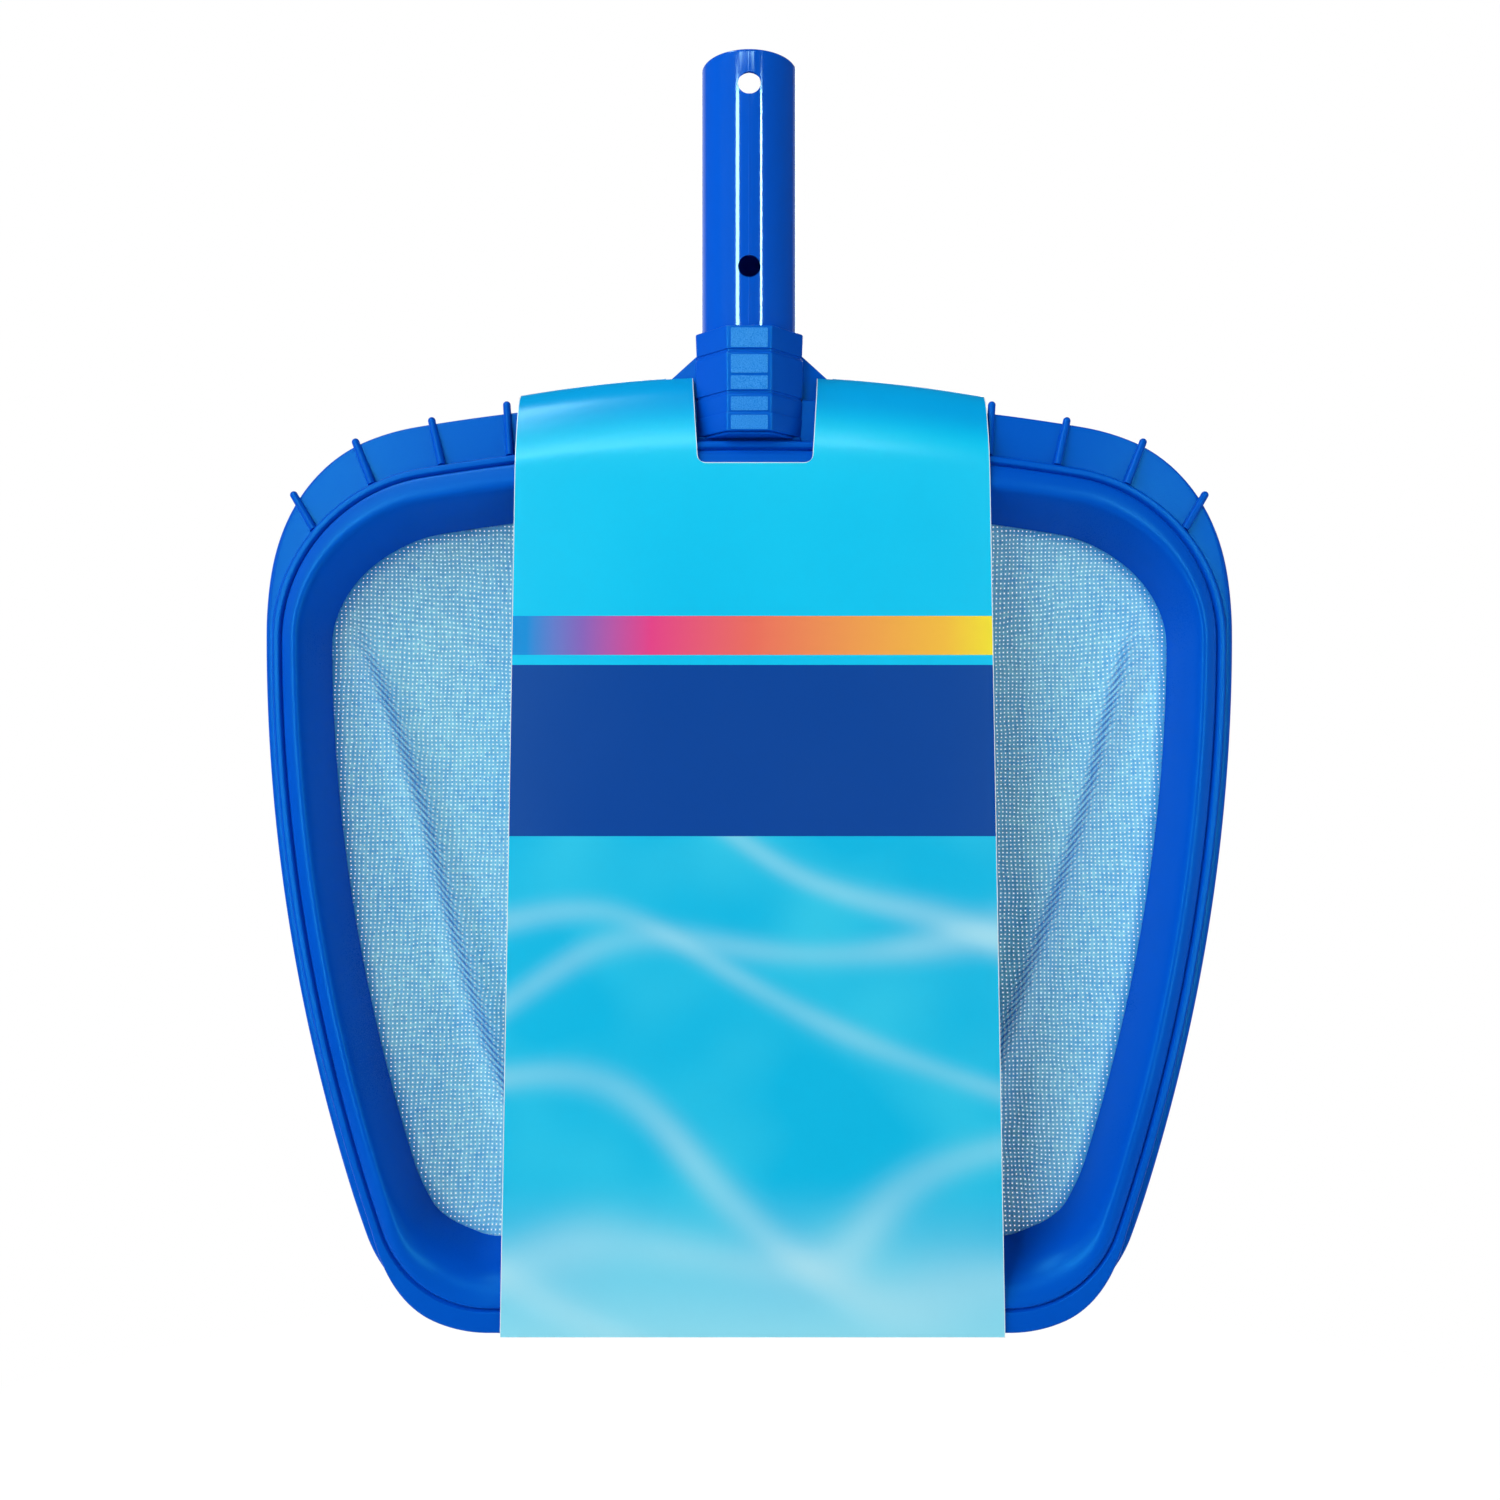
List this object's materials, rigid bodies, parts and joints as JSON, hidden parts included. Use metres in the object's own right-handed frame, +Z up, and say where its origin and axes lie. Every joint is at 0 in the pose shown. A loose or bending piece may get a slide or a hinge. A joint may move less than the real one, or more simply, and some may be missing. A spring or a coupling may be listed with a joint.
{
  "type": "leaf skimmer net",
  "caption": "Shallow leaf skimmer net in a moulded frame with a spatula lip and ribbed shoulders, on a hollow pole spigot with an octagonal collar, in its card sleeve.",
  "frame": {"origin": "on the handle's axis, at the foot of the tube's straight wall, 0.3 mm above the octagonal collar's shoulder", "axes": "+Z up the handle, out of its open end; -Y towards the net's open side; +X to the right as seen from the open side"},
  "size_m": [0.2832, 0.0536, 0.3674],
  "materials": {
    "frame_plastic": "gloss",
    "mesh": "matte",
    "handle_plastic": "gloss",
    "collar_plastic": "satin",
    "card": "satin"
  },
  "bodies": {
    "root": {"rear_frame": "frame_plastic", "front_ring": "frame_plastic", "net": "mesh", "handle_tube": "handle_plastic", "collar": "collar_plastic", "card_sleeve": "card"}
  },
  "joints": []
}
